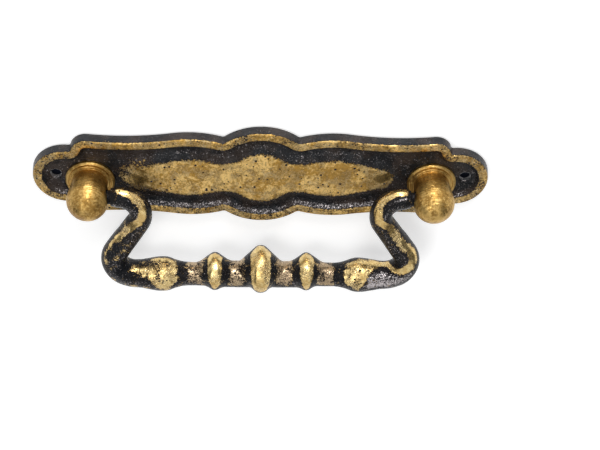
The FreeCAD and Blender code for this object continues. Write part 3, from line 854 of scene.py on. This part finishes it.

# %% [markdown]
# ## Bail: where it was rubbed
# A rubbing pad reaches crests and misses hollows. Ambient occlusion or the Pointiness output could
# find them, but neither survives in an exported model. Here each point is placed by its distance
# along the bail and its bearing round it, and short tables say where the metal is bare: bands that
# wind along the arms, and a patch on the crest of each bead. The hollows beside the beads get a second
# value, since their rough skin is only half bare, and a third one places painted glints and a painted
# sheen on the dark skin: more on faces towards the front, and in two patches on the right arm.

# %% Bail: where it was rubbed
BAND_EDGE, BAND_GAIN = 11.0, 1.2
CREST_EDGE, CREST_GAIN = 0.3, 1.25
# painted highlight: faces towards the front and below get more painted glints; the sheen rows add a painted
# sheen
FRONT_WAY, FRONT_FACING = (0.0, -0.95, -0.30), (0.75, 0.98)
FRONT_GLINT, SHEEN_GLINT, DULL_GLINT = 0.07, 0.15, -0.05
bend_low = [grip_length + LOWER_BEND[1] * math.radians(angle) for angle in (30, 60, 90)]
arm_third, arm_middle = lower_end + arm_length / 3.0, lower_end + arm_length / 2.0
bend_high = [upper_start + UPPER_BEND[1] * (turn + math.radians(angle)) for angle in (0, 45)]
BANDS = {
    # for each side: distance along the bail, lowest and highest bearing of the bare metal, how bare
    1: ([(23.4, 40, 60, 0.0), (24.6, 5, 95, 0.74), (26.5, -8, 104, 0.64), (28.5, -20, 110, 0.68),
         (30.0, 12, 112, 0.8), (31.5, 40, 114, 0.75), (33.0, 70, 114, 1.0), (35.0, 76, 112, 1.0),
         (bend_low[0], 70, 106, 1.0), (bend_low[1], 22, 66, 1.0),
         (bend_low[2], -34, 18, 1.0), (lower_end, -74, -24, 1.0),
         (arm_middle, -54, -14, 0.9), (upper_start, -52, -12, 1.0), (bend_high[0], -23, 30, 1.0),
         (bend_high[1], 38, 84, 1.0), (upper_end, 66, 110, 1.0), (arm_end - 1.2, 68, 112, 1.0),
         (arm_end - 0.4, 80, 100, 0.0)],),
    -1: ([(23.4, 40, 60, 0.0), (24.6, 5, 96, 0.8), (26.5, -25, 106, 0.72), (28.5, -42, 112, 0.68),
          (30.0, -5, 108, 0.66), (32.0, 15, 102, 0.62), (34.5, 42, 94, 0.55), (bend_low[0], 50, 80, 0.45),
          (bend_low[1], 15, 32, 0.15), (bend_low[2], -40, -24, 0.35), (lower_end, -64, -46, 0.70),
          (arm_third, -68, -48, 0.75), (arm_middle, -66, -34, 0.9), (upper_start, -52, -8, 1.0),
          (bend_high[0], -24, 28, 1.0), (bend_high[1], 30, 74, 1.0), (upper_end, 62, 100, 0.8),
          (arm_end - 1.5, 75, 100, 0.3), (arm_end - 0.4, 80, 100, 0.0)],
         [(lower_end - 2.0, -8, 14, 0.0), (lower_end, -10, 16, 0.65), (arm_third, -8, 14, 0.6),
          (arm_middle, -4, 8, 0.0)],
         [(31.0, -30, -12, 0.0), (33.5, -28, -12, 0.55), (bend_low[0], -34, -18, 0.5),
          (bend_low[1], -50, -36, 0.0)]),
}
CRESTS = (
    # place of the bead, then bearings and half the width of the bare crest there
    (0.0, (-16, -6, 10, 45, 98, 106, 114), (0.0, 1.8, 2.3, 2.8, 2.9, 2.2, 0.0)),
    (SMALL_BEAD_X, (-22, -12, 5, 45, 96, 104, 112), (0.0, 0.7, 1.2, 1.9, 2.1, 1.6, 0.0)),
)
HOLLOWS = ((3.8, 5.3, 8.4, 9.9), (15.8, 17.3, 20.6, 22.2))
HOLLOW_BEARINGS = (-30, 0, 120, 150)
# painted sheen: rows like the bands, where the dark skin gets painted light grey glints as a reflection
SHEENS = (
    [(29.5, 0, 30, 0.0), (31.5, -8, 40, 1.0), (35.0, -8, 60, 1.0), (bend_low[0], -8, 45, 0.8),
     (bend_low[1], -30, 5, 0.5), (bend_low[2], -50, -20, 0.0)],
    [(bend_high[1], 18, 30, 0.0), (upper_end, 34, 52, 0.9), (arm_end - 1.2, 36, 54, 0.9),
     (arm_end - 0.4, 40, 54, 0.0)],
)


def along_and_round(points):
    """For every point its distance along the bail and its bearing, front 0 and upper side 90."""
    marks = np.arange(0.0, arm_end, 0.1)
    places, headings = zip(*[path_at(mark) for mark in marks])
    places, headings = np.array(places), np.array(headings)
    flat = np.stack([np.abs(points[:, 0]), points[:, 2]], 1)
    nearest = np.concatenate([np.linalg.norm(some[:, None] - places, axis=2).argmin(1)
                              for some in np.array_split(flat, 40)])
    away = flat - places[nearest]
    side = away[:, 1] * np.cos(headings[nearest]) - away[:, 0] * np.sin(headings[nearest])
    return marks[nearest], np.degrees(np.arctan2(side, -points[:, 1] - PIVOT_FRONT))


def band_value(rows, along, bearings):
    """One where the band runs, with soft edges."""
    marks, lows, highs, strengths = np.array(rows, float).T
    low, high = np.interp(along, marks, lows), np.interp(along, marks, highs)
    strength = np.interp(along, marks, strengths, 0.0, 0.0)
    inside = soft_step(low - BAND_EDGE, low + BAND_EDGE, bearings)
    return BAND_GAIN * strength * inside * soft_step(high + BAND_EDGE, high - BAND_EDGE, bearings)


points = coordinates(bail)
along, bearings = along_and_round(points)
rubbed = np.zeros(len(points))
for side, bands in BANDS.items():
    for rows in bands:
        rubbed = np.maximum(rubbed, band_value(rows, along, bearings) * (points[:, 0] * side > 0.0))
for place, marks, halves in CRESTS:
    half = np.interp(bearings, marks, halves, 0.0, 0.0)
    on_crest = soft_step(half + CREST_EDGE, half - CREST_EDGE, np.abs(along - place)) * (half > 0)
    rubbed = np.maximum(rubbed, CREST_GAIN * on_crest)
hollows = sum(plateau(marks, along) for marks in HOLLOWS) * plateau(HOLLOW_BEARINGS, bearings)
keep_values(bail, "rubbed", rubbed)
keep_values(bail, "hollow", hollows)
# painted glints and painted sheen on the bail's dark skin
to_front = soft_step(*FRONT_FACING, normals(bail) @ np.array(FRONT_WAY))
sheen = sum(band_value(rows, along, bearings) for rows in SHEENS) * (points[:, 0] > 0.0)
keep_values(bail, "glint", FRONT_GLINT * to_front + SHEEN_GLINT * sheen + DULL_GLINT)
stands_for(bail, "bail", "bail")
print("bare share of the bail:", round(float((rubbed > 0.5).mean()), 3))

# %% [markdown]
# ## Posts
# Each post was turned on a lathe from bright rod: a flanged foot, a barrel that swells towards the
# front, and a bullet nose with a small flat. The lathe left fine rings, so they are in the profile
# as real ripples, and a few dents from fitting are pressed in afterwards. The cross hole takes the
# pin of the bail. Spin tools could turn the profile, but rings of points need no operator.

# %% Posts
POST_POINTS = 144
FOOT = FLOOR
BORE_RADIUS, BORE_END = 1.55, FLOOR + 4.4
FLANGE_TOP = FLOOR + 1.4
FLANGE_RADIUS, NECK_RADIUS, BARREL_RADIUS = 6.9, 4.9, 5.8
NOSE_START = 10.6
NOSE_FLAT = 1.1
HOLE_POINTS = 64
DENT_RADII = (4.2, 4.7)
POST_SMOOTH_ANGLE = 38.0
HOLE_PROFILE = ((1.1, 2.3), (5.3, 2.3), (5.7, 2.6), (9.0, 2.6))
RIPPLE_STEP = 0.72
RIPPLE_HEIGHTS = (3.0, 5.0, 6.5, 11.0, 13.2, 15.6, 16.3)
RIPPLE_DEPTHS = (0.050, 0.050, 0.030, 0.030, 0.055, 0.040, 0.0)
DENTS = (
    # bearing round the post in degrees, height, reach and depth
    (250.0, 9.6, 1.1, 0.10), (275.0, 11.8, 0.9, 0.08), (300.0, 7.6, 0.8, 0.07),
    (120.0, 10.8, 1.0, 0.09), (80.0, 12.6, 0.8, 0.07), (60.0, 8.4, 0.7, 0.06),
)


def post_profile():
    """From the end of the bore, round the foot and along the outside to the tip."""
    foot = rounded_profile([
        (0.0, BORE_END, 0.0), (BORE_RADIUS, BORE_END, 0.0), (BORE_RADIUS, FOOT, 0.0),
        (FLANGE_RADIUS, FOOT, 0.15), (FLANGE_RADIUS, FLANGE_TOP - 0.45, 0.12),
        (FLANGE_RADIUS - 0.5, FLANGE_TOP, 0.15), (6.05, FLANGE_TOP, 0.10), (5.85, FLANGE_TOP - 0.18, 0.08),
        (5.6, FLANGE_TOP - 0.18, 0.08), (5.4, FLANGE_TOP, 0.10), (NECK_RADIUS, FLANGE_TOP, 0.2),
        (NECK_RADIUS + 0.02, FLANGE_TOP + 0.4, 0.0),
    ])
    barrel = [(NECK_RADIUS + (BARREL_RADIUS - NECK_RADIUS) * share,
               FLANGE_TOP + 0.4 + (NOSE_START - FLANGE_TOP - 0.4) * share)
              for share in np.linspace(0.04, 1.0, 72)]
    rise = math.acos(NOSE_FLAT / BARREL_RADIUS)
    nose = [(BARREL_RADIUS * math.cos(angle), NOSE_START + BARREL_RADIUS * math.sin(angle))
            for angle in np.linspace(0.02, rise, 64)]
    ripple = []
    for radius, height in barrel + nose:
        depth = np.interp(height, RIPPLE_HEIGHTS, RIPPLE_DEPTHS)
        ripple.append((radius - depth * (1.0 - math.cos(height * 2.0 * math.pi / RIPPLE_STEP)), height))
    return foot + ripple + [(NOSE_FLAT * 0.5, nose[-1][1]), (0.0, nose[-1][1])]


def hole_cutter(side):
    """A round bar along the axis of the bail, from inside the post outwards."""
    angles = np.linspace(0.0, 2.0 * math.pi, HOLE_POINTS, endpoint=False)
    rings = [np.stack([np.full(HOLE_POINTS, side * (POST_X - reach)), -PIVOT_FRONT + radius * np.cos(angles),
                       PIVOT_UP + radius * np.sin(angles)], 1) for reach, radius in HOLE_PROFILE]
    return skin("hole_cutter", rings)


posts = []
for node, side in (("left_post", -1), ("right_post", 1)):
    post = turned(node.replace("_", "_turned_"), post_profile(), side * POST_X, POST_UP, POST_POINTS)
    points = coordinates(post)
    bearings = np.degrees(np.arctan2(points[:, 2] - POST_UP, points[:, 0] - side * POST_X)) % 360.0
    out_way = np.stack([np.cos(np.radians(bearings)), np.zeros(len(points)), np.sin(np.radians(bearings))], 1)
    outside = soft_step(*DENT_RADII, np.hypot(points[:, 0] - side * POST_X, points[:, 2] - POST_UP))
    for angle, height, reach, depth in DENTS:
        turn_away = (bearings - angle * side + 180.0) % 360.0 - 180.0
        far = np.hypot(np.radians(turn_away) * BARREL_RADIUS, -points[:, 1] - height) / reach
        points -= out_way * (depth * np.exp(-far ** 2) * outside)[:, None]
    move_points(post, points, node)
    cut_away(post, [hole_cutter(side)])
    shade(post, POST_SMOOTH_ANGLE)
    stands_for(post, node, "plate")
    posts.append(post)
print("post faces:", [len(post.data.polygons) for post in posts])

# %% [markdown]
# ## Shared finishes
# Plate and bail left the same mould shop, the same blackening bath and the same rubbing pad, so
# their materials share four effects. Each is a node group, built once, that only puts out colours
# and values, and each material sets its own amounts. The first is the grain of the cast skin: fine
# sand, slow lumps and a few round pits. Noise makes the sand; scattered points make the pits.

# %% Shared finishes: cast grain
grain_group, entry, result = new_group(
    "cast_grain",
    [("Place", "Vector"), ("Pit Amount", "Float")],
    [("Height", "Float"), ("Pits", "Float")])
tree = grain_group
sand = clouds(tree, entry["Place"], scale=2.3, detail=4.0, roughness=0.65)
lumps = clouds(tree, entry["Place"], scale=0.7, detail=2.0, roughness=0.5)
pit_far, pit_grey = cells(tree, entry["Place"], 0.72)
pit_size = ease(tree, pit_grey, 0.45, 1.0, 0.02, 0.28)
pits = ease(tree, minus(tree, pit_size, pit_far), -0.03, 0.06)
pits = times(tree, pits, entry["Pit Amount"])
rough_skin = plus(tree, sand, times(tree, lumps, 0.8))
join(tree, minus(tree, rough_skin, times(tree, pits, 0.6)), result["Height"])
join(tree, pits, result["Pits"])
print("group:", grain_group.name)

# %% [markdown]
# ## Patina
# The bath left a black skin, brown in places. Where the pad reached, brass shows, and the border is
# ragged at two sizes: patches, and specks of the grain. A mask painted by hand would be soft there, so
# two noises are added to the kept value before it is cut off. Just past the border a thin brown film
# is left on the brass. Painted glints, a painted highlight, turn grains of the dark skin light grey and
# metallic where the kept glint value is high, as on faces towards a lamp.

# %% Shared finishes: patina
# black patina; its slight blue tint is a painted reflection of a blue surround
BLACK_SKIN_AND_PAINTED_BLUE = (0.002, 0.003, 0.005, 1.0)
BROWN_SKIN = (0.024, 0.015, 0.011, 1.0)
# painted highlight: the light grey of the painted glints on the dark skin
PAINTED_GLINT_GREY = (0.58, 0.53, 0.53, 1.0)
BARE_FROM = (0.42, 0.56)
CLEAN_FROM = (0.40, 1.10)
patina_group, entry, result = new_group(
    "antique_patina",
    [("Place", "Vector"), ("Rubbed", "Float"), ("Patches", "Float"), ("Specks", "Float"), ("Glint", "Float"),
     ("Brown", "Float")],
    [("Bare", "Float"), ("Clean", "Float"), ("Dark", "Color"), ("Glints", "Float")])
tree = patina_group
wide = clouds(tree, entry["Place"], scale=0.45, detail=4.0, roughness=0.6)
fine = clouds(tree, entry["Place"], scale=2.1, detail=3.0, roughness=0.7)
patches, specks = [ease(tree, value, 0.30, 0.70, -0.5, 0.5) for value in (wide, fine)]
reached = plus(tree, entry["Rubbed"], times(tree, patches, entry["Patches"]))
reached = plus(tree, reached, times(tree, specks, entry["Specks"]))
join(tree, ease(tree, reached, *BARE_FROM), result["Bare"])
join(tree, ease(tree, reached, *CLEAN_FROM), result["Clean"])
slow = clouds(tree, entry["Place"], scale=0.16, detail=3.0, roughness=0.6)
tint = ease(tree, slow, 0.38, 0.62, 0.0, entry["Brown"])
dark = blend(tree, tint, BLACK_SKIN_AND_PAINTED_BLUE, BROWN_SKIN)
# painted highlight: grain noise lifted by the glint value turns the dark skin light grey and metallic
grains = clouds(tree, entry["Place"], scale=2.2, detail=4.0, roughness=0.75)
glints = ease(tree, plus(tree, grains, entry["Glint"]), 0.57, 0.68)
join(tree, blend(tree, glints, dark, PAINTED_GLINT_GREY), result["Dark"])
join(tree, times(tree, glints, 0.8), result["Glints"])
print("group:", patina_group.name)

# %% [markdown]
# ## Scratches
# The pad was drawn across in several directions. A noise stretched far along one direction has long
# thin level lines, and the line at its middle value is a scratch. Three turned copies cross each
# other, and a slow noise leaves gaps, since a pad never presses evenly.

# %% Shared finishes: scratches
STRETCH = (0.10, 0.4, 2.6)
LINE_EDGE = (0.030, 0.004)
scratch_group, entry, result = new_group(
    "rubbing_scratches",
    [("Place", "Vector"), ("Amount", "Float")],
    [("Height", "Float"), ("Lines", "Float")])
tree = scratch_group
lines = None
for turned_by, scale in ((0.35, 1.5), (-0.6, 1.1), (1.3, 0.9)):
    spin = tree.nodes.new("ShaderNodeVectorRotate")
    spin.rotation_type = "Y_AXIS"
    spin.inputs["Angle"].default_value = turned_by
    join(tree, entry["Place"], spin.inputs["Vector"])
    along_line = stretch(tree, spin.outputs[0], STRETCH)
    thin = clouds(tree, along_line, scale=scale, detail=2.0, roughness=0.5, distortion=0.25)
    line = ease(tree, maths(tree, "ABSOLUTE", minus(tree, thin, 0.5)), *LINE_EDGE)
    lines = line if lines is None else maths(tree, "MAXIMUM", lines, line)
gaps = ease(tree, clouds(tree, entry["Place"], scale=0.28, detail=2.0, roughness=0.5), 0.46, 0.60)
lines = times(tree, times(tree, lines, gaps), entry["Amount"])
join(tree, lines, result["Lines"])
join(tree, times(tree, lines, -1.0), result["Height"])
print("group:", scratch_group.name)

# %% [markdown]
# ## Brass tone
# Bare brass is never one colour: it is paler where it was rubbed last, deeper where it has begun to
# tarnish. A slow noise and a quick one together choose between the two, and the quick one also
# changes the roughness, so the shine breaks up with the colour.

# %% Shared finishes: brass tone
tone_group, entry, result = new_group(
    "brass_tone",
    [("Place", "Vector"), ("Pale", "Color"), ("Deep", "Color"), ("Satin", "Float")],
    [("Color", "Color"), ("Roughness", "Float")])
tree = tone_group
slow = clouds(tree, entry["Place"], scale=0.14, detail=3.0, roughness=0.55, distortion=0.4)
quick = clouds(tree, entry["Place"], scale=1.3, detail=4.0, roughness=0.65)
mixed = plus(tree, times(tree, slow, 0.5), times(tree, quick, 0.5))
join(tree, blend(tree, ease(tree, mixed, 0.44, 0.56), entry["Pale"], entry["Deep"]), result["Color"])
uneven = times(tree, minus(tree, quick, 0.5), 0.35)
join(tree, plus(tree, entry["Satin"], uneven), result["Roughness"])
print("group:", tone_group.name)

# %% [markdown]
# ## Antiqued brass of the plate and the bail
# One function wires the shared effects into a material: the value kept on the mesh says where the
# pad went, the patina group breaks up its edge, and base colour, metallic, roughness and bump all
# follow the same mask. So a dark spot is also deeper and no longer a metal mirror. Light scratches
# and dark ones cross on the bare metal, and in the bail's coves it keeps a brown cast.

# %% Antiqued brass
LINE_SHARE, SWIRL_SHARE, COVE_SHARE = 0.8, 0.6, 0.75
SWIRL_TURN = (-0.7, 1.0, 0.7)
SCRATCH_DEPTH, RUBBED_DEPTH = 0.25, -0.3


def principled(name):
    material, tree = bare_material(name)
    shader = tree.nodes.new("ShaderNodeBsdfPrincipled")
    output = tree.nodes.new("ShaderNodeOutputMaterial")
    tree.links.new(shader.outputs[0], output.inputs[0])
    coordinate = tree.nodes.new("ShaderNodeTexCoord")
    place = stretch(tree, coordinate.outputs["Object"], (1.0 / MM,) * 3)
    return material, tree, shader.inputs, place


def dress(piece, material):
    piece.data.materials.clear()
    piece.data.materials.append(material)


def mesh_value(tree, name):
    node = tree.nodes.new("ShaderNodeAttribute")
    node.attribute_name = name
    return node.outputs["Fac"]


def bump(tree, height, depth):
    node = tree.nodes.new("ShaderNodeBump")
    node.inputs["Distance"].default_value = depth * MM
    join(tree, height, node.inputs["Height"])
    return node.outputs[0]


def antiqued(name, rubbed_value, amounts):
    material, tree, shader, place = principled(name)
    shader["Specular IOR Level"].default_value = amounts["gloss"]
    rubbed = rubbed_value(tree, place)
    grain = use_group(tree, grain_group, Place=place, Pit_Amount=amounts["pits"])
    patina = use_group(tree, patina_group, Place=place, Rubbed=rubbed,
                       Patches=amounts["patches"], Specks=amounts["specks"],
                       Glint=mesh_value(tree, "glint"), Brown=amounts["brown"])
    scratches = use_group(tree, scratch_group, Place=place, Amount=amounts["scratches"])
    tone = use_group(tree, tone_group, Place=place, Pale=amounts["pale"], Deep=amounts["deep"],
                     Satin=amounts["satin"])
    bare = times(tree, patina["Bare"], minus(tree, 1.0, grain["Pits"]))
    swirls = use_group(tree, scratch_group, Place=stretch(tree, place, SWIRL_TURN),
                       Amount=amounts["scratches"])
    metal = blend(tree, patina["Clean"], amounts["film"], tone["Color"])
    metal = blend(tree, times(tree, scratches["Lines"], LINE_SHARE), metal, amounts["line"])
    metal = blend(tree, times(tree, swirls["Lines"], SWIRL_SHARE), metal, amounts["swirl"])
    if "cove" in amounts:
        brown = times(tree, mesh_value(tree, "hollow"), COVE_SHARE)
        metal = blend(tree, brown, metal, amounts["cove"])
    # the dark colour carries the painted glints as well as the patina
    join(tree, blend(tree, bare, patina["Dark"], metal), shader["Base Color"])
    join(tree, maths(tree, "MAXIMUM", bare, patina["Glints"]), shader["Metallic"])
    join(tree, between(tree, bare, amounts["dark_satin"], tone["Roughness"]), shader["Roughness"])
    skin_height = times(tree, grain["Height"], between(tree, bare, 1.0, amounts["bare_grain"]))
    relief = plus(tree, skin_height, times(tree, scratches["Height"], SCRATCH_DEPTH))
    relief = plus(tree, relief, times(tree, bare, RUBBED_DEPTH))
    join(tree, bump(tree, relief, amounts["relief"]), shader["Normal"])
    return material


plate_brass = antiqued("antiqued_plate", lambda tree, place: mesh_value(tree, "rubbed"), {
    "pits": 1.0, "patches": 0.35, "specks": 0.62, "scratches": 1.0, "relief": 0.30, "bare_grain": 0.13,
    "pale": (0.92, 0.63, 0.235, 1.0), "deep": (0.46, 0.26, 0.056, 1.0), "line": (0.82, 0.64, 0.34, 1.0),
    "swirl": (0.20, 0.12, 0.04, 1.0), "film": (0.19, 0.12, 0.042, 1.0),
    "satin": 0.34, "dark_satin": 0.27, "gloss": 0.33, "brown": 1.0,
})
dress(plate, plate_brass)


def bail_rubbing(tree, place):
    """The rubbed crests, and grit that shows about half the metal in the hollows."""
    grit = clouds(tree, place, scale=3.0, detail=3.0, roughness=0.7)
    half_bare = times(tree, mesh_value(tree, "hollow"), ease(tree, grit, 0.34, 0.56, 0.24, 0.88))
    return plus(tree, mesh_value(tree, "rubbed"), half_bare)


bail_brass = antiqued("antiqued_bail", bail_rubbing, {
    "pits": 0.8, "patches": 0.85, "specks": 0.70, "scratches": 0.6, "relief": 0.30, "bare_grain": 0.16,
    "swirl": (0.26, 0.16, 0.05, 1.0), "film": (0.30, 0.19, 0.075, 1.0),
    "pale": (0.90, 0.69, 0.32, 1.0), "deep": (0.70, 0.48, 0.18, 1.0), "line": (0.88, 0.72, 0.44, 1.0),
    "cove": (0.40, 0.30, 0.22, 1.0), "satin": 0.26, "dark_satin": 0.22, "gloss": 0.14,
    "brown": 0.25,
})
dress(bail, bail_brass)
print("materials:", plate_brass.name, bail_brass.name)

# %% [markdown]
# ## Turned brass of the posts and screws
# The posts kept their bright, warm metal. Its colour changes slowly, and the lathe's rings make it
# shine in fine bands: noise stretched round the axis gives rings that are never quite alike.
# The screws behind the plate are plainer brass of the same kind, turned and then slotted.

# %% Turned brass
STAIN = (0.20, 0.105, 0.035, 1.0)
PIT_DARK = (0.03, 0.02, 0.012, 1.0)
RING_DEPTH = 0.07


def lathe_brass(name, ring_scale, pale, deep, satin):
    material, tree, shader, place = principled(name)
    tone = use_group(tree, tone_group, Place=place, Pale=pale, Deep=deep, Satin=satin)
    grain = use_group(tree, grain_group, Place=place, Pit_Amount=0.35)
    scratches = use_group(tree, scratch_group, Place=place, Amount=0.8)
    round_axis = stretch(tree, place, (0.05, ring_scale, 0.05))
    rings_value = clouds(tree, round_axis, scale=1.0, detail=3.0, roughness=0.6)
    stain = ease(tree, clouds(tree, place, scale=0.33, detail=4.0, roughness=0.65), 0.56, 0.74, 0.0, 0.6)
    colour = blend(tree, stain, tone["Color"], STAIN)
    colour = blend(tree, times(tree, grain["Pits"], 0.8), colour, PIT_DARK)
    join(tree, colour, shader["Base Color"])
    shader["Metallic"].default_value = 1.0
    ring_shine = times(tree, minus(tree, rings_value, 0.5), 0.35)
    join(tree, plus(tree, tone["Roughness"], ring_shine), shader["Roughness"])
    relief = plus(tree, rings_value, times(tree, scratches["Height"], 0.5))
    relief = plus(tree, relief, times(tree, grain["Height"], 0.25))
    join(tree, bump(tree, relief, RING_DEPTH), shader["Normal"])
    return material


post_brass = lathe_brass("turned_post", ring_scale=4.5, satin=0.34,
                         pale=(0.62, 0.405, 0.133, 1.0), deep=(0.34, 0.192, 0.048, 1.0))
screw_brass = lathe_brass("turned_screw", ring_scale=6.0, satin=0.38,
                          pale=(0.62, 0.44, 0.19, 1.0), deep=(0.46, 0.30, 0.11, 1.0))
for post in posts:
    dress(post, post_brass)
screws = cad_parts["post_screws"]
dress(screws, screw_brass)
print("materials:", post_brass.name, screw_brass.name)

# %% [markdown]
# ## Size
# The finished pieces have to stay within the box of the solids, so the box of the finished pieces is
# printed at the end.

# %% Size
low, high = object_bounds()
print("box of the finished pieces in mm:", [round(side / MM, 2) for side in high - low])
